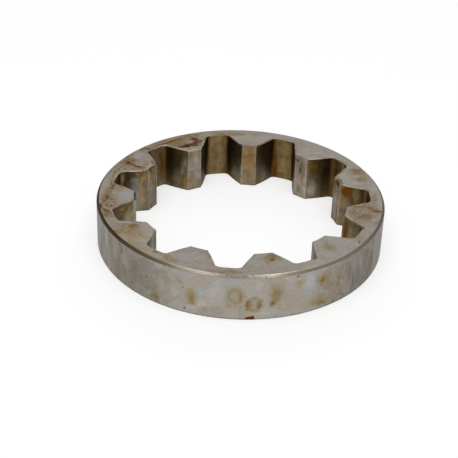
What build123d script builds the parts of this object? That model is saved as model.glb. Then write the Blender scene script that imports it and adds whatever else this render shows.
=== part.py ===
from build123d import *
import math
import os

# Outer gear of an internal-gear oil pump: one steel ring with teeth on its inside.
# Sizes are in millimetres. The ring lies on its lower face, the origin is the centre of that
# face, +Z runs along the axis to the upper face, and one tooth is centred on +Y.

# The turned ring
outer_diameter = 110.0
height = 18.5
rim_wall = 5.25             # from the floor of a tooth gap to the outside
upper_rim_chamfer = 0.95    # 45 degrees, round the outside at the upper face
tip_chamfer = 0.6           # 45 degrees, turned in the bore, so only the tooth tips keep it

# The teeth
tooth_count = 11
tooth_depth = 9.55          # from the tip circle to the root circle
tip_land_width = 5.7        # straight across the land of one tooth
flank_angle = 37.75         # degrees, from the tooth's centre line to the flank's chord
flank_radius = 61.0         # the flanks bulge slightly into the gap
root_fillet = 2.1           # in the two corners of a gap's floor

# Edges broken after cutting
upper_edge_break = 0.3      # flanks and gap floors, upper face
lower_edge_break = 0.2      # every edge of the lower face

outer_radius = outer_diameter / 2
root_radius = outer_radius - rim_wall
tip_radius = root_radius - tooth_depth
half_pitch = math.pi / tooth_count


def polar(radius, angle):
    """The point at a radius and at an angle in radians, counted from +Y towards +X."""
    return (radius * math.sin(angle), radius * math.cos(angle))


def half_angle_at_tip():
    """Angle from a tooth's centre line to the corner of its tip land."""
    return math.asin(tip_land_width / 2 / tip_radius)


def half_angle_at_root():
    """Angle from a tooth's centre line to the point where the flank's chord meets the root circle."""
    start_x, start_y = polar(tip_radius, half_angle_at_tip())
    run_x, run_y = math.sin(math.radians(flank_angle)), math.cos(math.radians(flank_angle))
    along = start_x * run_x + start_y * run_y
    chord = math.sqrt(along**2 + root_radius**2 - tip_radius**2) - along
    return math.atan2(start_x + chord * run_x, start_y + chord * run_y)


def turned_ring():
    """The ring before its teeth are cut: a plain section turned about the axis."""
    with BuildPart() as ring:
        with BuildSketch(Plane.XZ):
            with BuildLine():
                Polyline(
                    (tip_radius + lower_edge_break, 0),
                    (outer_radius - lower_edge_break, 0),
                    (outer_radius, lower_edge_break),
                    (outer_radius, height - upper_rim_chamfer),
                    (outer_radius - upper_rim_chamfer, height),
                    (tip_radius + tip_chamfer, height),
                    (tip_radius, height - tip_chamfer),
                    (tip_radius, lower_edge_break),
                    close=True,
                )
            make_face()
        revolve(axis=Axis.Z)
    return ring.part


def gap_profile():
    """Outline of the gap between two teeth, centred on +Y and open into the bore."""
    tip_angle = half_pitch - half_angle_at_tip()
    root_angle = half_pitch - half_angle_at_root()
    root_right, root_left = polar(root_radius, root_angle), polar(root_radius, -root_angle)
    tip_right, tip_left = polar(tip_radius, tip_angle), polar(tip_radius, -tip_angle)
    with BuildSketch() as gap:
        with BuildLine():
            ThreePointArc(root_left, polar(root_radius, 0), root_right)
            RadiusArc(root_right, tip_right, -flank_radius)
            Polyline(tip_right, polar(tip_radius / 2, 0), tip_left)
            RadiusArc(tip_left, root_left, -flank_radius)
        make_face()
        floor_corners = gap.vertices().sort_by(Axis.Y)[-2:]
        fillet(floor_corners, root_fillet)
    return gap.sketch


def cut_teeth(ring):
    """Cuts the gaps right through the ring, which leaves the teeth, and breaks the gaps' edges."""
    with BuildPart() as gear:
        add(ring)
        with BuildSketch():
            with PolarLocations(0, tooth_count, start_angle=math.degrees(half_pitch)):
                add(gap_profile())
        extrude(amount=height, mode=Mode.SUBTRACT)
        for level, size in ((0, lower_edge_break), (height, upper_edge_break)):
            chamfer(gap_edges(gear, level), size)
    return gear.part


def gap_edges(gear, level):
    """Edges of the flanks and gap floors that lie in the face at this height."""
    in_face = gear.edges().filter_by_position(Axis.Z, level, level)
    inner_limit = tip_radius + max(tip_chamfer, lower_edge_break)
    outer_limit = root_radius + rim_wall / 2
    return in_face.filter_by(
        lambda edge: inner_limit < math.hypot((edge @ 0.5).X, (edge @ 0.5).Y) < outer_limit
    )


ring_gear = cut_teeth(turned_ring())
os.makedirs("parts", exist_ok=True)
export_step(ring_gear, "parts/ring_gear.step")
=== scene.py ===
"""Looks of an oil pump's ring gear: the stained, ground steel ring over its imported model.

Lengths are in metres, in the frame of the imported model: the ring lies on its lower face, +Z runs
along its axis, and one tooth points from +Y to the axis. Angles round the ring are counted from
+Y towards +X, clockwise as seen from above.
"""
import math

import bpy
import numpy as np
from bpy.props import FloatProperty, FloatVectorProperty, IntProperty, PointerProperty
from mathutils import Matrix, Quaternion, Vector


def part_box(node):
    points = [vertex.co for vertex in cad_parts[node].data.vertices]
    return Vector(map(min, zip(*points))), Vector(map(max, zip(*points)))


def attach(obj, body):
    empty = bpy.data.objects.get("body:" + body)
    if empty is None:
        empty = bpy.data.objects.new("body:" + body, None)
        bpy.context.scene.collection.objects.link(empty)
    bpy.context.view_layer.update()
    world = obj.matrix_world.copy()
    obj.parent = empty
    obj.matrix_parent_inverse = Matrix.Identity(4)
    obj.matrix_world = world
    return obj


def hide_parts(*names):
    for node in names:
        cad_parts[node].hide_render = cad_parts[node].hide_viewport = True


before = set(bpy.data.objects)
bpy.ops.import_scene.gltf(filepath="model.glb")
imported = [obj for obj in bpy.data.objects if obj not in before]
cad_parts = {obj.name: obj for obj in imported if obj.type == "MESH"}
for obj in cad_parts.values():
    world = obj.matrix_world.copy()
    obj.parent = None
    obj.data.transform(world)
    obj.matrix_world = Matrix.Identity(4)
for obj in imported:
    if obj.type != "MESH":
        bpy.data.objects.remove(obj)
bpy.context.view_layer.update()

bl_info = {
    "name": "Oil pump ring gear",
    "version": (1, 0, 0),
    "blender": (4, 5, 0),
    "location": "3D View > Sidebar > Ring gear",
    "description": "Builds a stained steel ring gear with internal teeth, and its pale studio",
    "category": "Object",
}

MM = 0.001
NODE = "ring_gear"
LOW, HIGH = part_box(NODE)


def length(name, description, millimetres):
    """A size that a user may change, shown in the scene's unit of length."""
    return FloatProperty(name=name, description=description, default=millimetres * MM, min=0.0,
                         subtype="DISTANCE", unit="LENGTH", precision=5)


def colour(name, description, red, green, blue):
    """A colour that a user may change."""
    return FloatVectorProperty(name=name, description=description, default=(red, green, blue),
                               size=3, min=0.0, max=1.0, subtype="COLOR")


class RingSizes(bpy.types.PropertyGroup):
    """Sizes of the ring."""
    outer_diameter: length("Outer diameter", "Across the smooth outside", (HIGH.x - LOW.x) / MM)
    height: length("Height", "From the lower to the upper face", (HIGH.z - LOW.z) / MM)
    rim_wall: length("Rim wall", "From the floor of a tooth gap to the outside", 5.25)
    rim_chamfer: length("Rim chamfer", "Round the outside at the upper face", 0.95)
    tip_chamfer: length("Tip chamfer", "Turned across the tooth tips at the upper face", 0.6)
    tooth_count: IntProperty(name="Teeth", description="Number of internal teeth", default=11,
                             min=5)
    tooth_depth: length("Tooth depth", "From the tip circle to the root circle", 9.55)
    tip_land: length("Tip land", "Straight across the land of one tooth", 5.7)
    flank_angle: FloatProperty(name="Flank angle", default=math.radians(37.75), subtype="ANGLE",
                               description="From a tooth's centre line to the flank's chord")
    flank_radius: length("Flank radius", "Of the flanks' slight bulge into the gap", 61.0)
    root_fillet: length("Root fillet", "In the two corners of a gap's floor", 2.1)
    tip_corner: length("Tip corner", "Worn round between a tooth's land and its flanks", 0.3)
    upper_break: length("Upper edge break", "Of the flanks and gap floors", 0.3)
    lower_break: length("Lower edge break", "Of every edge of the lower face", 0.2)


class SteelColours(bpy.types.PropertyGroup):
    """Colours of the steel, as clean as each surface of it gets."""
    face: colour("Ground faces", "Bare steel of the two ground faces", 0.375, 0.348, 0.315)
    outside: colour("Outside", "Bare steel of the smooth outside", 0.40, 0.38, 0.355)
    teeth: colour("Teeth", "Steel of the tooth walls", 0.40, 0.36, 0.31)
    rim: colour("Rim chamfer", "Steel of the turned chamfer round the outside", 0.50, 0.46, 0.40)
    edge: colour("Edges", "Steel of the broken edges and turned tips", 0.50, 0.46, 0.39)


class StudioSettings(bpy.types.PropertyGroup):
    """The studio: floor, lamps and camera."""
    floor_colour: colour("Floor", "Matt studio floor", 0.50, 0.50, 0.50)
    floor_glow: FloatProperty(name="Floor glow", description="Light that comes through the floor",
                              default=0.62, min=0.0)
    floor_size: length("Floor size", "Side of the square floor", 6000.0)
    room: FloatProperty(name="Room", description="Brightness of the room round the lamps",
                        default=0.35, min=0.0)
    camera_place: FloatVectorProperty(name="Camera place", description="Where the camera stands",
                                      default=(0.026608, -0.398453, 0.253591), size=3,
                                      subtype="TRANSLATION", unit="LENGTH", precision=5)
    camera_aim: FloatVectorProperty(name="Camera aim", description="What the camera points at",
                                    default=(-0.003309, -0.010043, 0.00925), size=3,
                                    subtype="TRANSLATION", unit="LENGTH", precision=5)
    camera_roll: FloatProperty(name="Camera roll", description="Turn about the line of sight",
                               default=math.radians(2.034), subtype="ANGLE")
    focal_length: FloatProperty(name="Focal length", description="For a sensor 36 mm wide",
                                default=95.115, subtype="DISTANCE_CAMERA", unit="CAMERA")


def crossing(centre_a, radius_a, centre_b, radius_b, near):
    """Of the two points at these distances from both centres, the one nearest to a given point."""
    between = centre_b - centre_a
    gap = np.hypot(*between)
    along = (radius_a**2 - radius_b**2 + gap**2) / (2 * gap)
    aside = math.sqrt(radius_a**2 - along**2)
    across = np.array((-between[1], between[0])) / gap
    painted_foot_shade = centre_a + between / gap * along
    return min(painted_foot_shade + across * aside, painted_foot_shade - across * aside, key=lambda p: np.hypot(*(p - near)))


def arc(centre, radius, start, end, steps, metal_outside):
    """An arc from one point to just before another, and beside it the normals into the metal.

    The points are centre + radius (cos t, sin t), with t going evenly from the bearing of the
    start to the bearing of the end.
    """
    first, last = (math.atan2(p[1] - centre[1], p[0] - centre[0]) for p in (start, end))
    t = first + (last - first) * np.arange(steps) / steps
    outward = np.stack((np.cos(t), np.sin(t)), axis=1)
    return centre + radius * outward, outward if metal_outside else -outward


def half_tooth(sizes):
    """Half of a tooth's outline as tangent arcs: land, worn corner, flank, root fillet, gap floor.

    It runs from the middle of the land, on +Y, to the middle of the gap. Two arcs that meet are
    tangent, so their centres and their joint lie on one line, and an arc's centre is the crossing
    of two circles about its neighbours' centres.
    """
    axis = np.zeros(2)
    root = sizes.outer_diameter / 2 - sizes.rim_wall
    tip = root - sizes.tooth_depth
    half_pitch = math.pi / sizes.tooth_count
    tip_point = np.array((sizes.tip_land / 2, math.sqrt(tip**2 - (sizes.tip_land / 2)**2)))
    chord = np.array((math.sin(sizes.flank_angle), math.cos(sizes.flank_angle)))
    along = tip_point @ chord
    run = math.sqrt(along**2 + root**2 - tip**2) - along
    root_point = tip_point + run * chord
    inward = np.array((-chord[1], chord[0]))
    bulge = math.sqrt(sizes.flank_radius**2 - (run / 2)**2)
    flank = (tip_point + root_point) / 2 + inward * bulge
    corner = crossing(axis, tip + sizes.tip_corner,
                      flank, sizes.flank_radius - sizes.tip_corner, tip_point)
    fillet = crossing(axis, root - sizes.root_fillet,
                      flank, sizes.flank_radius + sizes.root_fillet, root_point)

    def joint(centre, radius, through):
        return centre + (through - centre) / np.hypot(*(through - centre)) * radius

    land_end = joint(axis, tip, corner)
    flank_start = joint(flank, sizes.flank_radius, corner)
    flank_end = joint(flank, sizes.flank_radius, fillet)
    floor_start = joint(axis, root, fillet)
    land_middle = np.array((0.0, tip))
    gap_middle = root * np.array((math.sin(half_pitch), math.cos(half_pitch)))
    arcs = (
        arc(axis, tip, land_middle, land_end, 9, True),
        arc(corner, sizes.tip_corner, land_end, flank_start, 5, False),
        arc(flank, sizes.flank_radius, flank_start, flank_end, 18, False),
        arc(fillet, sizes.root_fillet, flank_end, floor_start, 9, True),
        arc(axis, root, floor_start, gap_middle, 7, True),
        (gap_middle[None], gap_middle[None] / root),
    )
    return tuple(np.concatenate(columns) for columns in zip(*arcs))


def toothed_outline(sizes):
    """The bore's whole outline, clockwise from the middle of the gap before the first tooth.

    Half a tooth is mirrored to a whole one, and that is turned by one pitch after another.
    """
    half = half_tooth(sizes)
    mirror = np.array((-1.0, 1.0))
    one = [np.concatenate((part[:0:-1] * mirror, part[:-1])) for part in half]
    turn = 2 * math.pi / sizes.tooth_count * np.arange(sizes.tooth_count)[:, None]
    return [
        np.stack((part[:, 0] * np.cos(turn) + part[:, 1] * np.sin(turn),
                  part[:, 1] * np.cos(turn) - part[:, 0] * np.sin(turn)), axis=-1).reshape(-1, 2)
        for part in one
    ]


def rounded(corners, radius):
    """A path through some points, with each inner corner made a small curve.

    At a corner P the curve is (1-s)^2 A + 2 s (1-s) P + s^2 B, with A and B at the radius from P
    on both sides and s from 0 to 1. A point a little outside A and B keeps the flats flat.
    """
    corners = np.array(corners)
    s = np.linspace(0, 1, 4)[:, None]
    path = [corners[:1]]
    for before, corner, after in zip(corners, corners[1:], corners[2:]):
        back = (before - corner) / np.hypot(*(before - corner))
        on = (after - corner) / np.hypot(*(after - corner))
        curve = ((1 - s)**2 * (corner + back * radius) + 2 * s * (1 - s) * corner
                 + s**2 * (corner + on * radius))
        path += [[corner + back * radius * 2], curve, [corner + on * radius * 2]]
    return np.concatenate(path + [corners[-1:]])


def ring_surface(sizes):
    """The ring's closed skin, as a grid: stations round the ring by rings round its section.

    A station is a point of the bore's outline. Its section goes from the top of the tooth wall
    over the broken edge and the upper face to the outside, and back under the ring. Points on a
    face lie at (1-w) inner + w outer, with w from the bore's edge to the rim. The edge drops by
    the turned cone, tip chamfer + tip radius - r where that is above 0, and by the break's
    quarter round, b (1 - sin f) at the depth b (1 - cos f). Returns the grid's points and the
    region of each column of faces.
    """
    outline, into = toothed_outline(sizes)
    rim = sizes.outer_diameter / 2
    root = rim - sizes.rim_wall
    tip = root - sizes.tooth_depth
    top = sizes.height
    bearing = np.unwrap(np.arctan2(outline[:, 0], outline[:, 1]))
    away = np.stack((np.sin(bearing), np.cos(bearing)), axis=1)
    radius = np.hypot(*outline.T)
    slant = (into * away).sum(axis=1)
    stations = len(outline)

    def ease(value, low, high):
        t = np.clip((value - low) / (high - low), 0, 1)
        return t * t * (3 - 2 * t)

    def column(r, z):
        return np.stack((away[:, 0] * r, away[:, 1] * r, np.broadcast_to(z, (stations,))), axis=1)

    quarter = np.radians((0, 18, 36, 54, 72, 90))
    tip_break = 0.08 * MM
    worn = tip_break + (sizes.upper_break - tip_break) * ease(radius, tip + 0.3 * MM,
                                                              tip + 1.2 * MM)
    columns, regions = [], []

    def add(region, points):
        columns.extend(points)
        regions.extend([region] * len(points))

    def upper_edge(depth, drop):
        r = radius + depth / slant
        cone = sizes.tip_chamfer + tip - r
        softness, reach = 0.03 * MM, 0.3 * MM
        softened = (cone + np.sqrt(cone**2 + softness**2)) / 2
        return column(r, top - drop - np.where(cone > -reach, softened, 0))

    add("edge", [upper_edge(worn * (1 - math.cos(f)), worn * (1 - math.sin(f))) for f in quarter])
    add("edge", [upper_edge(worn + (sizes.tip_chamfer - worn) * share, 0)
                 for share in (0.15, 0.5, 0.85, 1.0)])
    face_start = sizes.tip_chamfer + 0.15 * MM
    inner = radius + face_start / slant
    outer = rounded(((rim - sizes.rim_chamfer - 0.6 * MM, top), (rim - sizes.rim_chamfer, top),
                     (rim, top - sizes.rim_chamfer), (rim, top - sizes.rim_chamfer - 1.0 * MM)),
                    0.12 * MM)
    add("face", [column(inner + (outer[0, 0] - inner) * w, top) for w in (0, 0.06, 0.3, 0.55, 0.8)])
    add("face", [column(r, z) for r, z in outer[:3]])
    add("rim", [column(r, z) for r, z in outer[3:8]])
    lower = rounded(((rim, 1.2 * MM), (rim, sizes.lower_break), (rim - sizes.lower_break, 0),
                     (rim - sizes.lower_break - 0.6 * MM, 0)), 0.05 * MM)
    add("outside", [column(r, z) for r, z in outer[8:]])
    heights = np.linspace(outer[-1, 1], lower[0, 1], 8)[1:-1]
    add("outside", [column(rim, z) for z in heights])
    add("outside", [column(r, z) for r, z in lower[:3]])
    add("edge", [column(r, z) for r, z in lower[3:8]])
    add("face", [column(r, z) for r, z in lower[8:]])
    under = radius + (sizes.lower_break + 0.1 * MM) / slant
    add("face", [column(lower[-1, 0] + (under - lower[-1, 0]) * w, 0)
                 for w in (0.25, 0.5, 0.75, 1)])
    low = sizes.lower_break
    add("edge", [column(radius + low * (1 - math.cos(f)) / slant, low * (1 - math.sin(f)))
                 for f in quarter[::-1]])
    wall_top = columns[0][:, 2]
    add("teeth", [column(radius, low + (wall_top - low) * share)
                  for share in (0.01, 0.1, 0.3, 0.5, 0.7, 0.9, 0.99)])
    return np.stack(columns, axis=1), regions


def flat_coordinates(points, regions, sizes):
    """A flat place for every corner of every face, in metres, unrolled by region.

    Upper and lower face: x and y. Outside and rim: the way round the outside from the front, to
    the right, and the height. Teeth: the way along the bore's outline from the middle of the
    first tooth, clockwise, and the height. Returns them with that way's length per tooth.
    """
    closed = np.concatenate((points, points[:1]))
    closed = np.concatenate((closed, closed[:, :1]), axis=1)
    outline = closed[:, -1, :2]
    steps = np.hypot(*np.diff(outline, axis=0).T)
    per_tooth = len(points) // sizes.tooth_count
    way = np.concatenate(([0.0], np.cumsum(steps))) - steps[:per_tooth // 2].sum()
    bearing = np.unwrap(np.arctan2(outline[:, 0], outline[:, 1]))
    round_outside = (math.pi - bearing) * sizes.outer_diameter / 2
    height = closed[..., 2]
    kinds = {
        "face": closed[..., :2],
        "edge": closed[..., :2],
        "rim": np.stack((np.broadcast_to(round_outside[:, None], height.shape), height), axis=-1),
        "teeth": np.stack((np.broadcast_to(way[:, None], height.shape), height), axis=-1),
    }
    kinds["outside"] = kinds["rim"]
    flat = np.empty((len(points), len(regions), 4, 2))
    for column, region in enumerate(regions):
        place = kinds[region]
        flat[:, column, 0] = place[:-1, column]
        flat[:, column, 1] = place[1:, column]
        flat[:, column, 2] = place[1:, column + 1]
        flat[:, column, 3] = place[:-1, column + 1]
    return flat, steps.sum() / sizes.tooth_count


def grid_mesh(name, points, regions, flat, materials):
    """A mesh from a grid that closes on itself both ways, with one face per grid cell."""
    stations, rings = points.shape[:2]
    number = np.arange(stations * rings).reshape(stations, rings)
    after = np.roll(number, -1, axis=0)
    faces = np.stack((number, after, np.roll(after, -1, axis=1), np.roll(number, -1, axis=1)),
                     axis=-1)
    mesh = bpy.data.meshes.new(name)
    mesh.vertices.add(stations * rings)
    mesh.vertices.foreach_set("co", points.astype(np.float32).ravel())
    mesh.loops.add(faces.size)
    mesh.loops.foreach_set("vertex_index", faces.astype(np.int32).ravel())
    mesh.polygons.add(stations * rings)
    mesh.polygons.foreach_set("loop_start", np.arange(0, faces.size, 4, dtype=np.int32))
    mesh.update(calc_edges=True)
    places = mesh.uv_layers.new(name="steel_map")
    places.data.foreach_set("uv", flat.astype(np.float32).ravel())
    kinds = list(materials)
    for kind in kinds:
        mesh.materials.append(materials[kind])
    chosen = np.array([kinds.index(region) for region in regions], dtype=np.int32)
    mesh.polygons.foreach_set("material_index", np.tile(chosen, stations))
    mesh.shade_smooth()
    mesh.validate()
    mesh.update()
    return mesh


class Shader:
    """The node tree of one material, with short calls for the kinds of node that it uses."""

    def __init__(self, name):
        self.material = bpy.data.materials.new(name)
        self.material.use_nodes = True
        self.tree = self.material.node_tree
        self.surface = self.tree.nodes["Principled BSDF"]

    def add(self, kind, inputs=None, output=0, **settings):
        """Adds a node, sets it up, and joins or sets its inputs; returns one of its outputs."""
        node = self.tree.nodes.new("ShaderNode" + kind)
        for key, value in settings.items():
            setattr(node, key, value)
        for key, value in (inputs or {}).items():
            self.join(node.inputs[key], value)
        return node.outputs[output]

    def join(self, socket, value):
        """Joins a socket to another node's output, or sets its value."""
        if isinstance(value, bpy.types.NodeSocket):
            self.tree.links.new(value, socket)
        else:
            socket.default_value = value

    def math(self, operation, a, b=0.0, c=0.0):
        return self.add("Math", {0: a, 1: b, 2: c}, operation=operation)

    def mix(self, share, a, b, blend="MIX"):
        """Mixes two colours by a share from 0 to 1."""
        return self.add("Mix", {0: share, 6: a, 7: b}, output=2, data_type="RGBA",
                        blend_type=blend)

    def noise(self, vector, scale, detail=2.0, roughness=0.5, output=0):
        return self.add("TexNoise", {"Vector": vector, "Scale": scale, "Detail": detail,
                                     "Roughness": roughness}, output=output)

    def ramp(self, value, *stops):
        """A colour ramp through stops of a place and a colour or grey."""
        node = self.tree.nodes.new("ShaderNodeValToRGB")
        self.join(node.inputs[0], value)
        elements = node.color_ramp.elements
        while len(elements) < len(stops):
            elements.new(0.5)
        for element, (place, tone) in zip(elements, stops):
            element.position = place
            element.color = (*(tone if isinstance(tone, tuple) else (tone,) * 3), 1)
        return node.outputs[0]


WHITE = (1, 1, 1, 1)
# Round the outside, the way from the front where the plain finish of the back starts and is full.
BACK_START, BACK_FULL = 80 * MM, 115 * MM
# A film on the steel, or painted shade for the 'shade' entry: its tint, how soft its edge is (1:
# all the way to the middle), its strength.
FILM_AND_SHADE_TINTS = {
    "wash": ((0.94, 0.845, 0.69), 0.8, 0.95),
    "golden": ((0.86, 0.74, 0.53), 0.7, 0.95),
    "brown": ((0.66, 0.48, 0.27), 0.6, 0.90),
    "umber": ((0.42, 0.30, 0.18), 0.5, 0.90),
    "red": ((0.44, 0.24, 0.15), 0.5, 0.95),
    "blot": ((0.26, 0.15, 0.08), 0.5, 0.95),
    # shade: painted shade over the left and right of the outside.
    "shade": ((0.68, 0.665, 0.635), 1.0, 1.00),
    "beige": ((0.94, 0.88, 0.76), 0.7, 0.95),
    "olive": ((0.89, 0.83, 0.66), 0.6, 0.95),
    "ochre": ((0.84, 0.72, 0.50), 0.8, 0.95),
    "orange": ((0.82, 0.62, 0.34), 0.8, 0.95),
    "grey": ((0.85, 0.84, 0.77), 0.5, 0.85),
    "ring": ((0.84, 0.78, 0.63), 0.6, 0.90),
    "moss": ((0.62, 0.51, 0.28), 0.6, 0.90),
    "straw": ((1.03, 0.98, 0.84), 0.5, 0.95),
    "ribbon": ((0.72, 0.70, 0.63), 0.6, 0.90),
    "speck": ((0.45, 0.36, 0.30), 0.8, 0.90),
    "scratch": ((1.26, 1.24, 1.20), 0.8, 1.00),
    "rust": ((0.34, 0.09, 0.03), 0.4, 1.00),
    "light": ((1.12, 1.10, 1.12), 0.8, 1.00),
}
# Films that dried from their middle outwards: how strong they are at some depths from their edge.
DRIED = {
    "grey": ((0.07, 1.0), (0.22, 0.55), (1.0, 0.75)),
    "beige": ((0.07, 1.0), (0.22, 0.55), (1.0, 0.75)),
    "ring": ((0.16, 1.0), (0.38, 0.9), (0.60, 0.25)),
}
# Places of the films in millimetres on the flat coordinates: the centre, the width, the height
# and, where the place is turned, its tilt in degrees.
OUTSIDE_FILM_AND_SHADE_PLACES = {
    # shade: painted shade over the left and right of the outside.
    "shade": ((-38.0, 9.0, 48.0, 70.0), (52.0, 8.0, 52.0, 70.0)),
    "grey": ((-31.0, 10.5, 14.0, 13.0), (-24.0, 13.0, 7.0, 6.0), (-38.4, 6.0, 4.6, 7.0),
             (-45.4, 12.0, 3.6, 12.0, -8.0), (-52.4, 9.0, 3.6, 18.0), (-5.6, 3.0, 9.0, 4.0),
             (53.6, 7.0, 3.4, 8.0), (57.0, 13.0, 3.0, 9.0), (-58.6, 12.0, 3.0, 12.0)),
    "beige": ((-22.0, 10.0, 10.0, 17.0), (16.5, 14.0, 8.0, 8.0), (20.9, 12.0, 6.0, 6.0),
              (26.2, 14.4, 5.0, 8.0), (30.5, 4.5, 12.0, 6.0), (44.7, 14.0, 9.0, 9.0),
              (-9.5, 14.6, 9.0, 6.0), (-38.0, 12.5, 6.0, 6.0), (8.5, 4.0, 9.0, 8.0),
              (-27.0, 5.0, 8.0, 11.0), (-14.0, 9.0, 10.0, 10.0), (40.0, 5.0, 12.0, 7.0),
              (2.8, 9.9, 8.2, 8.4), (-36.0, 2.6, 8.0, 4.0), (22.0, 4.6, 6.0, 5.0),
              (24.5, 7.6, 8.0, 9.0)),
    "olive": ((-12.4, 7.6, 7.0, 10.0), (8.4, 6.3, 5.0, 6.4), (12.2, 6.9, 3.0, 6.0),
              (0.6, 6.1, 2.6, 2.2), (-7.6, 3.3, 3.2, 2.6), (-16.8, 12.9, 3.2, 3.4),
              (38.6, 9.4, 7.0, 5.0), (36.3, 12.4, 9.6, 9.6), (34.4, 4.0, 11.0, 6.6, 8.0),
              (10.4, 9.4, 2.6, 2.6), (48.8, 10.0, 3.4, 9.0), (-43.0, 6.4, 4.0, 7.0, 20.0),
              (18.0, 10.4, 8.6, 14.0, -10.0), (4.8, 9.2, 2.0, 4.4), (-27.4, 3.0, 5.4, 5.4),
              (26.4, 13.6, 2.8, 5.0), (43.0, 9.0, 3.0, 8.0)),
    "ochre": ((-12.2, 7.1, 4.4, 6.6), (17.4, 9.6, 6.0, 12.0, -8.0), (16.5, 6.8, 4.6, 6.0),
              (7.8, 6.8, 3.0, 4.2), (35.8, 12.4, 6.2, 4.2, 40.0), (35.2, 3.3, 6.4, 3.6),
              (-27.0, 1.7, 5.8, 4.0), (12.0, 6.6, 1.8, 3.4)),
    "ring": ((2.7, 9.9, 6.0, 6.4), (9.6, 6.4, 6.6, 7.0)),
    "orange": ((16.4, 6.3, 2.8, 3.2), (35.2, 12.0, 3.0, 1.8, 40.0)),
    "ribbon": ((64.8, 7.0, 2.8, 14.0), (-44.0, 13.5, 1.4, 8.0, -8.0), (60.3, 11.6, 1.6, 9.0),
               (-61.5, 10.0, 2.4, 16.0), (50.9, 6.0, 1.6, 8.0)),
}
OUTSIDE_SPECKS = {
    "speck": ((-33.6, 9.3, 0.9, 0.9), (-30.8, 9.7, 1.2, 1.1), (25.3, 16.9, 1.8, 1.5),
              (59.2, 3.0, 1.7, 1.5), (-15.1, 1.9, 1.3, 2.2), (-15.7, 10.8, 1.1, 1.2),
              (41.2, 1.1, 1.1, 1.4), (5.0, 5.2, 0.9, 0.9), (46.0, 2.0, 0.9, 0.9)),
    "light": ((-29.9, 3.1, 2.2, 2.2), (2.4, 10.0, 2.4, 2.4), (-13.7, 3.7, 2.2, 1.8),
              (16.3, 6.0, 0.9, 0.9)),
    "rust": ((8.5, 0.5, 4.2, 2.1), (9.6, 1.0, 1.8, 1.6)),
}
OUTSIDE_CLEAN = ((-41.4, 10.0, 4.0, 14.0, 8.0), (-49.0, 10.0, 3.4, 16.0, -6.0),
                 (-12.8, 3.4, 4.4, 3.0), (30.6, 13.6, 4.6, 8.0), (12.4, 14.6, 4.4, 5.0),
                 (55.2, 12.0, 3.4, 9.0), (-3.4, 11.0, 7.0, 13.0), (-35.6, 3.6, 5.0, 6.0),
                 (-8.6, 5.0, 5.0, 6.0), (12.6, 2.6, 9.0, 3.0), (-24.6, 8.6, 4.0, 9.0, -12.0),
                 (-19.4, 7.4, 3.6, 6.0), (-56.0, 12.0, 2.6, 12.0), (50.6, 12.0, 2.6, 8.0),
                 (60.4, 8.0, 3.0, 9.0))
FACE_FILMS = {
    "wash": ((-47.0, 12.0, 17.0, 46.0), (-31.0, 39.0, 38.0, 15.0, 38.0), (-48.6, -15.0, 12.0, 28.0),
             (-38.0, -30.6, 20.0, 13.0, -40.0), (47.4, -5.0, 15.0, 28.0), (44.5, 23.0, 12.0, 14.0),
             (14.5, -41.5, 9.0, 8.0), (51.6, -12.8, 4.0, 5.0), (-16.6, -42.6, 12.0, 4.0, -10.0),
             (-21.0, -46.6, 10.0, 4.0, -28.0), (-9.0, 50.0, 26.0, 5.0, 6.0),
             (-1.0, -52.4, 17.0, 2.8)),
    "golden": ((-31.0, 39.4, 18.0, 4.6, 40.0), (-20.8, 42.0, 6.4, 5.0, 30.0),
               (-20.8, 38.4, 5.6, 3.6, 20.0), (-27.6, 37.0, 10.0, 4.6, 20.0),
               (-24.4, 46.0, 12.0, 3.0, 26.0), (-37.6, 34.0, 8.0, 3.4, 45.0),
               (-46.8, 20.0, 7.0, 11.0, -30.0), (-39.8, 18.8, 4.0, 7.0), (-41.6, 14.8, 4.0, 3.4),
               (-50.8, -6.0, 4.4, 22.0), (-47.4, -20.6, 7.0, 7.0), (-50.4, 2.0, 3.0, 7.0),
               (-36.6, -27.6, 6.0, 3.4, 12.0), (-42.0, -32.6, 5.0, 3.0, -40.0),
               (47.2, -8.8, 9.0, 5.0, 5.0), (51.0, -3.8, 6.4, 4.6), (46.6, -2.0, 9.0, 2.6, 3.0),
               (50.8, 6.0, 3.6, 9.0), (46.0, 18.8, 6.4, 5.0), (44.4, 26.2, 5.0, 5.0),
               (42.4, -6.4, 4.0, 5.0)),
    "olive": ((14.2, -41.6, 3.6, 7.0), (35.0, -31.0, 7.4, 8.6), (13.6, -44.4, 2.4, 3.0)),
    "moss": ((-49.4, -0.9, 2.4, 5.4),),
    "straw": ((-29.5, -40.5, 38.0, 18.0, -48.0), (-10.0, -46.0, 14.0, 8.0)),
    "brown": ((-44.6, 17.4, 8.0, 2.3, -32.0), (-40.6, 15.8, 4.4, 2.2),
              (-37.4, 20.8, 2.0, 5.0, 25.0), (-50.3, -8.4, 1.8, 5.0, 20.0),
              (52.2, -4.4, 6.0, 1.7, 12.0), (45.0, 1.2, 9.0, 1.2, 4.0),
              (-21.2, 40.8, 7.4, 4.4, 30.0), (37.9, 17.1, 8.0, 2.8, -65.0), (15.0, -43.0, 1.4, 1.8),
              (-42.4, 30.4, 1.7, 5.4, -30.0), (-34.0, 37.4, 9.0, 1.3, 40.0),
              (-29.6, 41.6, 9.0, 1.3, 34.0), (-26.0, -43.8, 3.4, 2.0)),
    "umber": ((-51.4, -15.6, 1.5, 5.0, 20.0), (-49.3, -18.5, 3.4, 1.6, -30.0),
              (-42.2, 16.1, 3.0, 1.6), (-47.0, 18.9, 2.0, 2.2), (-40.6, 31.8, 2.8, 1.3, 30.0),
              (-47.5, -15.0, 2.0, 1.3), (-36.4, 34.4, 3.2, 1.0, 40.0)),
    "red": ((-23.2, 43.0, 4.6, 3.6, 30.0), (-23.9, 38.2, 8.6, 3.0, 40.0),
            (-22.8, 37.4, 4.6, 2.8, 20.0)),
    "blot": ((-26.0, 35.7, 6.0, 1.8, 18.0),),
}
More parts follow.
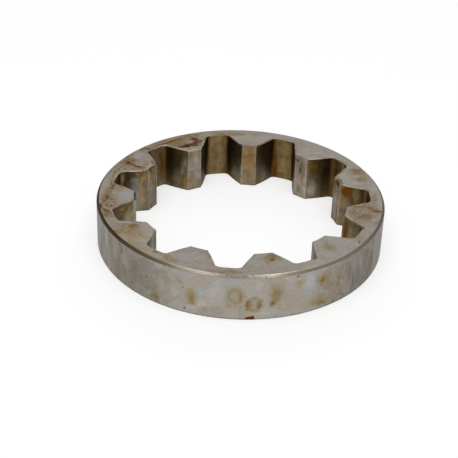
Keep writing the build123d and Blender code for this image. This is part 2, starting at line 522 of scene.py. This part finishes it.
FACE_SPECKS = {
    "speck": ((-28.8, 35.0, 1.4, 1.5), (-46.3, -19.6, 1.3, 1.5), (-45.8, -22.6, 1.2, 1.3),
              (45.4, -26.8, 0.8, 3.4), (25.6, 36.4, 1.4, 1.6), (22.4, 33.9, 3.4, 0.9),
              (-48.4, -22.6, 1.0, 1.2), (-49.6, -4.6, 1.0, 1.4)),
    "scratch": ((-11.6, -46.0, 9.0, 0.7, 50.0), (-13.8, -43.4, 8.0, 0.6, 36.0)),
}
# Arcs left by the wiping cloth: their centre, spacing and strength, and the place that shows them.
FACE_ARCS = (
    (0.0, 0.0, 1.6, 0.5, (-31.0, 40.0, 38.0, 11.0, 38.0)),
    (-30.0, 6.0, 2.1, 0.6, (-48.0, 13.0, 12.0, 36.0)),
    (-47.6, -13.8, 1.9, 0.85, (-49.2, -12.8, 8.0, 13.0)),
    (41.0, -9.4, 1.5, 0.4, (44.4, -7.6, 7.0, 7.0)),
)
FACE_CLEAN = ((-43.8, 25.4, 4.6, 6.0), (-43.2, -6.0, 8.0, 11.0), (-40.0, -25.2, 9.0, 3.4),
              (43.4, 21.6, 4.4, 3.4), (43.6, -1.0, 6.0, 1.8), (50.4, -10.8, 3.6, 3.4),
              (-14.0, -44.4, 16.0, 8.0, -6.0), (38.6, -27.4, 12.0, 10.0), (8.6, -45.6, 8.0, 5.0),
              (-31.0, -37.0, 6.0, 3.0, -40.0), (44.6, -15.0, 5.0, 3.0))
# Paints of the tooth walls, in the same way; they cover what lies under them.
PAINTS = {
    "olive": ((0.35, 0.29, 0.18), 0.8, 0.85),
    # black: painted shade on the flanks.
    "black": ((0.19, 0.155, 0.095), 0.9, 0.90),
    "dun": ((0.41, 0.38, 0.33), 0.8, 0.85),
    "steel": ((0.72, 0.68, 0.60), 0.6, 0.90),
    "bluish": ((0.78, 0.80, 0.84), 0.7, 0.85),
    "cool": ((0.57, 0.64, 0.78), 0.7, 0.85),
    "slate": ((0.60, 0.63, 0.62), 0.6, 0.90),
    "tan": ((0.58, 0.465, 0.26), 0.8, 0.88),
    "brown": ((0.43, 0.28, 0.10), 0.8, 0.90),
    "sienna": ((0.34, 0.165, 0.04), 0.7, 0.95),
    "golden": ((0.64, 0.44, 0.17), 0.7, 0.95),
    "amber": ((0.86, 0.66, 0.37), 0.7, 0.90),
    "umber": ((0.21, 0.12, 0.045), 0.8, 0.92),
    "burnt": ((0.42, 0.17, 0.02), 1.0, 0.95),
    "shadow": ((0.27, 0.235, 0.175), 0.7, 0.85),
}
TOOTH_PAINTS = {
    "olive": ((52.6, 12.0, 3.4, 40.0), (118.0, 12.0, 6.0, 30.0), (10.8, 11.0, 5.6, 40.0),
              (84.0, 8.0, 8.0, 12.0), (278.0, 9.0, 8.0, 30.0), (81.0, 12.0, 3.4, 8.0)),
    # black: painted shade darkening the flanks.
    "black": ((350.6, 10.0, 3.6, 46.0), (371.0, 11.0, 5.4, 46.0), (-12.2, 13.0, 4.6, 24.0),
              (23.2, 9.2, 2.6, 50.0), (46.8, 10.5, 4.4, 46.0), (315.0, 15.0, 4.2, 13.0),
              (309.4, 13.0, 3.0, 24.0), (87.0, 14.0, 3.4, 26.0)),
    "dun": ((342.0, 10.0, 4.0, 44.0), (353.6, 5.5, 5.6, 11.0), (-7.0, 6.0, 8.0, 15.0),
            (368.6, 4.0, 5.0, 12.0), (346.6, 1.4, 8.0, 4.4), (7.6, 4.6, 8.0, 13.0),
            (84.0, 3.4, 8.0, 8.0), (378.8, 3.4, 5.0, 6.0), (313.6, 4.0, 4.0, 10.0),
            (36.6, 13.4, 4.6, 8.0), (8.6, 15.4, 7.0, 9.0), (118.6, 12.6, 5.4, 20.0)),
    "steel": ((361.4, 9.0, 6.6, 34.0), (325.2, 9.0, 6.4, 34.0), (36.1, 5.2, 5.2, 16.0),
              (56.2, 15.0, 3.0, 26.0), (42.0, 5.0, 4.6, 11.0), (286.0, 9.0, 3.0, 34.0),
              (-2.6, 6.0, 1.6, 20.0), (317.4, 8.0, 10.0, 28.0), (283.6, 9.0, 9.0, 20.0)),
    "bluish": ((72.0, 8.4, 5.8, 20.0), (361.8, 10.0, 3.4, 16.0), (325.0, 12.4, 2.4, 6.0),
               (38.2, 9.0, 3.4, 40.0), (245.8, 9.0, 13.0, 40.0), (151.4, 9.0, 13.0, 40.0),
               (356.4, 10.5, 2.8, 11.0, -12.0), (33.9, 5.0, 1.6, 14.0)),
    "cool": ((316.6, 7.4, 5.0, 22.0),),
    "slate": ((325.4, 9.0, 5.2, 36.0),),
    "tan": ((-17.6, 9.0, 5.6, 40.0), (17.6, 9.0, 6.6, 40.0), (377.6, 10.0, 3.0, 36.0),
            (78.2, 10.0, 4.4, 7.0), (82.0, 13.8, 3.6, 7.0), (344.6, 9.0, 3.0, 24.0),
            (338.6, 10.0, 2.0, 30.0), (325.6, 15.6, 5.0, 7.0), (312.4, 16.2, 2.6, 7.0, -6.0),
            (36.8, 9.4, 2.2, 8.0), (35.4, 3.6, 1.8, 4.0), (115.8, 12.0, 3.0, 12.0),
            (76.0, 12.6, 3.4, 10.0), (82.4, 15.0, 4.0, 6.0)),
    "brown": ((353.8, 15.4, 6.4, 8.0), (345.0, 15.0, 3.4, 8.0), (-15.2, 15.0, 4.0, 7.0),
              (21.2, 3.6, 3.6, 7.0), (17.6, 1.8, 6.4, 5.0), (70.6, 17.2, 3.6, 4.0),
              (43.4, 14.0, 8.0, 10.0), (46.8, 15.8, 4.4, 5.0), (73.4, 17.4, 3.6, 3.4),
              (113.2, 13.0, 4.6, 22.0), (356.8, 5.0, 3.6, 6.4), (280.8, 16.2, 8.0, 3.6, 14.0)),
    "sienna": ((347.0, 12.0, 3.0, 20.0), (13.9, 9.2, 2.6, 50.0), (52.2, 11.0, 1.6, 44.0),
               (78.4, 15.6, 7.4, 5.6), (113.4, 14.0, 2.4, 15.0)),
    "golden": ((0.2, 13.0, 7.0, 15.0), (0.6, 5.6, 3.0, 11.0), (-0.4, 16.8, 5.8, 7.4),
               (43.0, 15.6, 3.4, 3.4), (319.9, 15.8, 6.4, 4.6), (357.6, 3.2, 4.4, 5.0),
               (40.8, 16.4, 4.0, 4.0), (19.6, 13.6, 3.4, 6.4), (353.6, 16.4, 4.0, 3.4),
               (280.2, 16.8, 4.4, 2.0, 12.0), (76.0, 17.0, 3.0, 2.2)),
    "amber": ((319.0, 9.0, 2.8, 17.0), (322.6, 15.0, 1.6, 5.0), (319.6, 14.8, 3.0, 3.0)),
    "umber": ((49.6, 11.0, 4.4, 44.0), (72.8, 17.4, 4.0, 2.0)),
    "burnt": ((348.6, 15.6, 2.8, 4.0), (77.9, 16.2, 7.0, 4.6), (79.4, 14.8, 4.0, 5.6),
              (80.9, 11.9, 2.6, 3.6)),
    "shadow": ((70.9, 14.4, 1.6, 8.0), (37.9, 13.0, 1.2, 9.0), (34.0, 16.6, 2.4, 2.6),
               (316.2, 16.0, 4.0, 4.0), (324.0, 17.0, 2.0, 2.0), (74.6, 6.0, 1.0, 8.0),
               (327.2, 9.0, 1.4, 18.0), (35.2, 13.0, 1.2, 6.0)),
}
# Where the broken edges of the bore are dull, where a painted highlight brightens them, and where
# they are plain steel.
EDGE_DULL = ((-36.5, 16.7, 5.4, 2.2, 65.0), (-39.9, -5.7, 2.2, 5.6), (0.0, 40.6, 10.0, 4.0),
             (36.7, 16.7, 6.0, 2.4, -65.0))
EDGE_PAINTED_HIGHLIGHT = ((-24.4, 33.4, 11.0, 4.0, 12.0), (-42.6, 12.6, 10.0, 3.6, -20.0),
               (28.5, 33.0, 11.0, 3.6), (43.6, -11.0, 10.0, 4.0, -38.0),
               (42.6, 12.2, 10.0, 3.6, -18.0))
EDGE_FAIR = ((-29.4, -36.0, 8.0, 12.0), (30.4, -34.0, 8.0, 12.0))


class Steel(Shader):
    """A shader for stained steel, drawn on the ring's flat coordinates."""

    def __init__(self, name, upright=1.0):
        super().__init__(name)
        self.object = self.add("TexCoord", output="Object")
        self.flat = self.add("UVMap", uv_map="steel_map")
        space = self.add("Mapping", {"Vector": self.object, "Scale": (1, 1, upright)})
        drift = self.spread(self.noise(space, 150.0, 2.0, output=1), 3.2 * MM)
        ripple = self.spread(self.noise(space, 620.0, 3.0, output=1), 1.1 * MM)
        bent = self.add("VectorMath", {0: self.flat, 1: ripple})
        self.rippled = self.add("VectorMath", {0: bent, 1: (1, 1, 0)}, operation="MULTIPLY")
        bent = self.add("VectorMath", {0: self.rippled, 1: drift})
        self.drifting = self.add("VectorMath", {0: bent, 1: (1, 1, 0)}, operation="MULTIPLY")
        self.ragged = self.centred(self.noise(space, 520.0, 4.0, 0.6), 0.75)

    def centred(self, grey, span):
        """A grey of about 0.5 turned into a number of about 0."""
        return self.math("MULTIPLY", self.math("SUBTRACT", grey, 0.5), span)

    def spread(self, noise, span):
        """A noise colour turned into an offset of up to half the span either way."""
        middle = self.add("VectorMath", {0: noise, 1: (0.5, 0.5, 0.5)}, operation="SUBTRACT")
        return self.add("VectorMath", {0: middle, 3: span}, operation="SCALE")

    def smooth(self, value, high, low=0.0, top=1.0):
        """Goes smoothly from 0 to the top while the value goes from low to high."""
        return self.add("MapRange", {"Value": value, "From Min": low, "From Max": high,
                                     "To Min": 0.0, "To Max": top}, interpolation_type="SMOOTHSTEP")

    def away(self, vector, across, up):
        """Distance on the flat coordinates from a point given in millimetres."""
        centre = (across * MM, up * MM, 0)
        return self.add("VectorMath", {0: vector, 1: centre}, output=1, operation="DISTANCE")

    def depth(self, places, small=False):
        """How far a point lies inside the nearest oval place: 1 in its middle, 0 at its edge.

        The ovals are bent by noise, and their edges are ragged unless they are small. The spherical
        gradient is 1 - distance, never below 0, so it reaches over twice an oval's size.
        """
        highest = 0.0
        for across, up, width, height, *tilt in places:
            local = self.add("Mapping", {
                "Vector": self.rippled if small else self.drifting,
                "Location": (across * MM, up * MM, 0),
                "Rotation": (0, 0, math.radians(sum(tilt))),
                "Scale": (width * MM, height * MM, 1)}, vector_type="TEXTURE")
            near = self.add("TexGradient", {"Vector": local}, output=1, gradient_type="SPHERICAL")
            highest = self.math("MAXIMUM", near, highest)
        inside = self.math("MULTIPLY_ADD", highest, 2.0, -1.0)
        return inside if small else self.math("ADD", inside, self.ragged)

    def coated(self, tint, coats, kinds=FILM_AND_SHADE_TINTS, blend="MULTIPLY", small=False):
        """The tint under films and painted shade, which multiply it, or under paints, which replace
        it.
        """
        for kind, places in coats.items():
            layer, softness, strength = kinds[kind]
            depth = self.depth(places, small)
            if kind in DRIED:
                rim = self.ramp(depth, (0.0, 0.0), *DRIED[kind])
                share = self.math("MULTIPLY", rim, strength)
            else:
                share = self.smooth(depth, softness, top=strength)
            tint = self.mix(share, tint, (*layer, 1), blend)
        return tint

    def arcs(self, tint, arcs, layer):
        """Thin arcs about some centres, each set shown in one place."""
        for across, up, spacing, strength, place in arcs:
            waves = self.math("PINGPONG", self.away(self.rippled, across, up), spacing / 2 * MM)
            line = self.math("SUBTRACT", 1.0, self.smooth(waves, 0.22 * spacing * MM))
            shown = self.smooth(self.depth((place,)), 0.5, top=strength)
            share = self.math("MULTIPLY", line, shown)
            tint = self.mix(share, tint, (*layer, 1), "MULTIPLY")
        return tint

    def times(self, tint, other):
        return self.mix(1.0, tint, other, "MULTIPLY")

    def grained(self, tint, scale, low):
        """The tint with a fine grain; returns it and the grain."""
        grain = self.noise(self.object, scale, 4.0, 0.7)
        return self.times(tint, self.ramp(grain, (0.3, low), (0.7, 1.0))), grain

    def finish(self, base, tint, gloss, bump, edge_tint=0.5):
        """Joins colour, gloss and bump to the surface: a film takes some of the gloss away."""
        sockets = self.surface.inputs
        self.join(sockets["Base Color"], self.mix(1.0, (*base, 1), tint, "MULTIPLY"))
        sockets["Metallic"].default_value = 1.0
        sockets["Specular Tint"].default_value = (edge_tint, edge_tint, edge_tint, 1)
        cover = self.add("RGBToBW", {"Color": tint})
        self.join(sockets["Roughness"], self.add("MapRange", {
            "Value": cover, "From Min": 0.2, "From Max": 1.0,
            "To Min": gloss + 0.14, "To Max": gloss}))
        self.join(sockets["Normal"], self.add("Bump", {
            "Height": bump, "Strength": 0.25, "Distance": 0.02 * MM}))
        return self.material


def ground_face(base):
    """The two ground faces: brown clouds, arcs of the wiping cloth, oil films and red marks."""
    s = Steel("Ground face")
    clouds = s.ramp(s.noise(s.object, 130.0, 6.0, 0.7), (0.36, (0.88, 0.83, 0.74)),
                    (0.50, (0.97, 0.95, 0.92)), (0.62, (1.04, 1.03, 1.05)))
    tint = s.coated(clouds, FACE_FILMS)
    fine = s.ramp(s.noise(s.object, 700.0, 3.0, 0.6), (0.40, (0.76, 0.66, 0.52)), (0.53, 1.0))
    stained = s.smooth(s.depth(FACE_FILMS["wash"]), 0.6, top=0.75)
    tint = s.mix(stained, tint, s.times(tint, fine))
    tint = s.arcs(tint, FACE_ARCS, (0.58, 0.44, 0.29))
    tint = s.mix(s.smooth(s.depth(FACE_CLEAN), 0.5, top=0.85), tint, (1.0, 0.995, 1.05, 1))
    tint, grain = s.grained(s.coated(tint, FACE_SPECKS, small=True), 1100.0, 0.82)
    return s.finish(base, tint, 0.34, grain)


def smooth_outside(base):
    """The smooth outside: thin oil films, drops and rings, upright ribbons, a speck of rust, and
    painted shade on its sides and along its lower edge.

    The films of the front have their places; round the back, noise alone makes plainer ones.
    """
    s = Steel("Smooth outside")
    hues = s.ramp(s.noise(s.object, 75.0, 3.0, 0.5), (0.34, (1.03, 0.99, 1.08)),
                  (0.45, (0.96, 0.99, 0.97)), (0.54, (1.03, 0.99, 0.94)),
                  (0.64, (0.99, 1.0, 1.04)))
    upright = s.add("Mapping", {"Vector": s.object, "Scale": (240.0, 240.0, 62.0)})
    ribbons = s.ramp(s.noise(upright, 1.0, 3.0, 0.6), (0.36, (0.82, 0.80, 0.73)),
                     (0.47, (0.99, 0.98, 0.97)), (0.60, (1.11, 1.11, 1.14)))
    from_front = s.math("ABSOLUTE", s.add("SeparateXYZ", {0: s.flat}))
    back = s.smooth(from_front, BACK_FULL, BACK_START)
    sides = s.math("MULTIPLY_ADD", back, -0.6, s.smooth(from_front, 50 * MM, 34 * MM, 0.9))
    tint = s.times(hues, s.mix(sides, WHITE, ribbons))
    dried = s.ramp(s.noise(s.object, 62.0, 3.0, 0.5), (0.46, 1.0), (0.485, (0.84, 0.79, 0.68)),
                   (0.53, (0.95, 0.92, 0.85)), (0.60, (0.96, 0.93, 0.87)),
                   (0.67, (0.84, 0.76, 0.58)))
    tint = s.times(tint, s.mix(s.math("MAXIMUM", back, 0.3), WHITE, dried))
    tint = s.coated(tint, OUTSIDE_FILM_AND_SHADE_PLACES)
    lifted = s.times(tint, (1.11, 1.11, 1.16, 1))
    tint = s.mix(s.smooth(s.depth(OUTSIDE_CLEAN), 0.6), tint, lifted)
    # Painted shade: the outside darkens towards its lower edge, where it stands on the floor.
    painted_foot_shade = s.smooth(s.add("SeparateXYZ", {0: s.rippled}, output=1), 0.9 * MM, -0.1 * MM)
    tint = s.times(tint, s.ramp(painted_foot_shade, (0.0, (0.42, 0.38, 0.33)), (1.0, 1.0)))
    tint, grain = s.grained(s.coated(tint, OUTSIDE_SPECKS, small=True), 1000.0, 0.84)
    return s.finish(base, tint, 0.33, grain)


def tooth_walls(base, pitch):
    """The cut tooth walls: brown flanks darkened to black by painted shade, lighter lands, worn
    corners with a painted highlight, streaks.
    """
    s = Steel("Tooth wall", upright=0.3)
    way = s.math("DIVIDE", s.math("PINGPONG", s.add("SeparateXYZ", {0: s.flat}), pitch / 2),
                 pitch / 2)
    # Tone across each half tooth: the flanks darkening to almost black towards the root fillets is
    # painted shade over the steel's brown.
    profile = s.ramp(way, (0.0, (0.64, 0.57, 0.46)), (0.160, (0.60, 0.54, 0.44)),
                     (0.20, (0.46, 0.41, 0.31)), (0.42, (0.36, 0.31, 0.21)),
                     (0.62, (0.25, 0.20, 0.12)), (0.74, (0.24, 0.17, 0.09)),
                     (0.86, (0.46, 0.36, 0.20)), (1.0, (0.52, 0.42, 0.25)))
    upright = s.add("Mapping", {"Vector": s.object, "Scale": (300.0, 300.0, 55.0)})
    streaks = s.ramp(s.noise(upright, 1.0, 4.0, 0.6), (0.34, (0.84, 0.77, 0.66)),
                     (0.48, (1.0, 0.98, 0.94)), (0.64, (1.13, 1.13, 1.15)))
    mottles = s.ramp(s.noise(s.object, 330.0, 4.0, 0.65), (0.34, (0.78, 0.74, 0.68)),
                     (0.5, 1.0), (0.66, (1.14, 1.13, 1.14)))
    tint = s.times(s.coated(profile, TOOTH_PAINTS, PAINTS, "MIX"), mottles)
    # Painted highlight on the worn round corners between the lands and the flanks.
    corner = (1.26, 1.27, 1.30)
    worn = s.ramp(way, (0.128, 1.0), (0.148, corner), (0.166, corner), (0.190, 1.0))
    tint, grain = s.grained(s.times(s.times(tint, streaks), worn), 900.0, 0.80)
    return s.finish(base, tint, 0.30, grain)


def rim_chamfer(base):
    """The turned chamfer: painted shade at the left, a painted highlight and scuffs in front, grey
    at the right.
    """
    s = Steel("Rim chamfer")
    way = s.add("SeparateXYZ", {0: s.rippled})
    place = s.add("MapRange", {"Value": way, "From Min": -80 * MM, "From Max": 80 * MM})
    # Tone round the chamfer: the dark band at the left is painted shade, the brighter front and
    # right are painted highlight, and the dip in the middle of the front is a worn, dirty patch.
    layer = s.ramp(place, (0.0, (0.20, 0.17, 0.14)), (0.20, (0.17, 0.13, 0.08)),
                  (0.29, (0.36, 0.31, 0.23)), (0.33, (0.46, 0.41, 0.31)),
                  (0.36, (0.56, 0.51, 0.42)), (0.39, (0.80, 0.75, 0.68)),
                  (0.445, (0.82, 0.76, 0.69)), (0.475, (0.74, 0.70, 0.65)),
                  (0.49, (0.54, 0.51, 0.47)), (0.52, (0.44, 0.42, 0.39)),
                  (0.55, (0.60, 0.57, 0.53)), (0.575, (0.72, 0.70, 0.66)),
                  (0.605, (0.98, 0.95, 0.90)), (0.64, (0.78, 0.72, 0.65)),
                  (0.76, (0.92, 0.90, 0.86)), (0.88, (0.76, 0.75, 0.72)),
                  (1.0, (0.56, 0.55, 0.50)))
    height = s.add("SeparateXYZ", {0: s.flat}, output=1)
    middle = s.math("ABSOLUTE", s.math("SUBTRACT", height, HIGH.z - 0.5 * MM))
    stripe = s.smooth(middle, 0.0, 0.22 * MM)
    left = s.ramp(place, (0.22, 1.0), (0.32, 0.0))
    layer = s.times(layer, s.mix(s.math("MULTIPLY", stripe, left), WHITE, (2.4, 2.2, 1.8, 1)))
    # Painted highlight along the chamfer's upper edge, in places at the front left and front right.
    upper = s.smooth(height, HIGH.z, HIGH.z - 0.32 * MM)
    painted_highlight = s.ramp(place, (0.27, 0.2), (0.31, 0.9), (0.37, 0.8), (0.43, 0.35), (0.48, 0.1),
                   (0.55, 0.15), (0.63, 0.6), (0.70, 1.0), (0.80, 0.8), (0.88, 0.0))
    layer = s.times(layer, s.mix(s.math("MULTIPLY", upper, painted_highlight), WHITE, (2.5, 2.38, 2.2, 1)))
    behind = s.smooth(s.math("ABSOLUTE", way), BACK_FULL, 82 * MM)
    layer = s.mix(behind, layer, (0.42, 0.38, 0.32, 1))
    scuffs = s.ramp(s.noise(s.rippled, 900.0, 2.0), (0.38, (0.72, 0.68, 0.64)), (0.52, 1.0))
    scuffed = s.ramp(place, (0.44, 0.0), (0.50, 1.0), (0.60, 1.0), (0.66, 0.0))
    tint, grain = s.grained(s.mix(scuffed, layer, s.times(layer, scuffs)), 900.0, 0.85)
    return s.finish(base, tint, 0.3, grain)


def broken_edge(base):
    """The edges that were broken after cutting, and the turned tips, with painted highlights in
    places and painted shade on the lower edges.
    """
    s = Steel("Broken edge")
    tint = s.ramp(s.noise(s.object, 220.0, 3.0, 0.6), (0.38, (0.66, 0.54, 0.38)),
                  (0.58, (1.0, 0.97, 0.92)))
    dull = s.smooth(s.depth(EDGE_DULL), 0.3, top=0.8)
    tint = s.mix(dull, tint, (0.32, 0.26, 0.17, 1))
    # Painted highlight on the bore's edges in the places listed.
    tint = s.mix(s.smooth(s.depth(EDGE_PAINTED_HIGHLIGHT), 0.5), tint, (1.22, 1.10, 0.90, 1))
    tint = s.mix(s.smooth(s.depth(EDGE_FAIR), 0.4, top=0.8), tint, (1.0, 0.98, 0.98, 1))
    # Painted shade: the edges near the lower face, where the ring stands on the floor, are
    # darkened.
    low = s.smooth(s.add("SeparateXYZ", {0: s.object}, output=2), 4 * MM, 2 * MM)
    tint = s.mix(low, (0.30, 0.26, 0.21, 1), tint)
    tint, grain = s.grained(tint, 900.0, 0.8)
    return s.finish(base, tint, 0.42, grain, 0.1)


def lamp(name, place, aim, width, depth, radiance):
    """A soft rectangular lamp: its power makes a lit face that is this bright, white being 1."""
    data = bpy.data.lights.new(name, "AREA")
    data.shape = "RECTANGLE"
    data.size, data.size_y = width, depth
    data.energy = radiance * math.pi * width * depth
    holder = bpy.data.objects.new(name, data)
    holder.location = place
    holder.rotation_euler = (Vector(aim) - Vector(place)).to_track_quat("-Z", "Y").to_euler()
    bpy.context.scene.collection.objects.link(holder)
    return holder


class BuildRing(bpy.types.Operator):
    """Builds the ring's skin with its teeth and puts its steel on it"""
    bl_idname = "ring_gear.build_ring"
    bl_label = "Build ring"

    def execute(self, context):
        sizes, colours = context.scene.ring_sizes, context.scene.steel_colours
        points, regions = ring_surface(sizes)
        flat, pitch = flat_coordinates(points, regions, sizes)
        materials = {
            "face": ground_face(colours.face),
            "outside": smooth_outside(colours.outside),
            "rim": rim_chamfer(colours.rim),
            "edge": broken_edge(colours.edge),
            "teeth": tooth_walls(colours.teeth, pitch),
        }
        ring = bpy.data.objects.new("toothed_ring", grid_mesh("toothed_ring", points, regions,
                                                              flat, materials))
        context.scene.collection.objects.link(ring)
        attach(ring, "root")
        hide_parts(NODE)
        return {"FINISHED"}


class SetStudio(bpy.types.Operator):
    """Puts down the pale floor, hangs the soft lamps and sets up the camera"""
    bl_idname = "ring_gear.set_studio"
    bl_label = "Set studio"

    def execute(self, context):
        scene, studio = context.scene, context.scene.studio_settings
        half, level = studio.floor_size / 2, -0.02 * MM
        mesh = bpy.data.meshes.new("studio_floor")
        mesh.from_pydata([(-half, -half, level), (half, -half, level),
                          (half, half, level), (-half, half, level)], [], [(0, 1, 2, 3)])
        floor = bpy.data.objects.new("studio_floor", mesh)
        scene.collection.objects.link(floor)
        paint = Shader("Studio floor")
        paint.surface.inputs["Base Color"].default_value = (*studio.floor_colour, 1)
        paint.surface.inputs["Roughness"].default_value = 0.9
        paint.surface.inputs["Specular IOR Level"].default_value = 0.0
        paint.surface.inputs["Emission Color"].default_value = WHITE
        paint.surface.inputs["Emission Strength"].default_value = studio.floor_glow
        mesh.materials.append(paint.material)

        room = bpy.data.worlds.new("Studio room")
        room.use_nodes = True
        room.node_tree.nodes["Background"].inputs["Color"].default_value = WHITE
        room.node_tree.nodes["Background"].inputs["Strength"].default_value = studio.room
        scene.world = room
        lamp("overhead_lamp", (0, -0.35, 1.1), (0, 0, 0), 1.1, 1.1, 1.75)
        lamp("back_lamp", (0, 1.5, 0.9), (0, 0, 0), 2.0, 0.8, 0.9)

        camera = bpy.data.cameras.new("photo_camera")
        camera.sensor_width = 36.0
        camera.lens = studio.focal_length
        camera.clip_start = 0.01
        holder = bpy.data.objects.new("photo_camera", camera)
        place, aim = Vector(studio.camera_place), Vector(studio.camera_aim)
        look = (aim - place).to_track_quat("-Z", "Y")
        holder.location = place
        holder.rotation_euler = (look @ Quaternion((0, 0, 1), studio.camera_roll)).to_euler()
        scene.collection.objects.link(holder)
        scene.camera = holder
        scene.view_settings.view_transform = "Standard"
        return {"FINISHED"}


class RingPanel(bpy.types.Panel):
    """Lists what builds the ring gear and its studio"""
    bl_idname = "VIEW3D_PT_ring_gear"
    bl_label = "Ring gear"
    bl_space_type = "VIEW_3D"
    bl_region_type = "UI"
    bl_category = "Ring gear"

    def draw(self, context):
        for group in ("ring_sizes", "steel_colours", "studio_settings"):
            box = self.layout.box()
            settings = getattr(context.scene, group)
            for key in settings.__annotations__:
                box.prop(settings, key)
        for operator in (BuildRing, SetStudio):
            self.layout.operator(operator.bl_idname)


CLASSES = (RingSizes, SteelColours, StudioSettings, BuildRing, SetStudio, RingPanel)


def register():
    for kind in CLASSES:
        bpy.utils.register_class(kind)
    bpy.types.Scene.ring_sizes = PointerProperty(type=RingSizes)
    bpy.types.Scene.steel_colours = PointerProperty(type=SteelColours)
    bpy.types.Scene.studio_settings = PointerProperty(type=StudioSettings)


def unregister():
    for name in ("ring_sizes", "steel_colours", "studio_settings"):
        delattr(bpy.types.Scene, name)
    for kind in reversed(CLASSES):
        bpy.utils.unregister_class(kind)


def main():
    register()
    bpy.ops.ring_gear.build_ring()
    bpy.ops.ring_gear.set_studio()


if __name__ == "__main__":
    main()
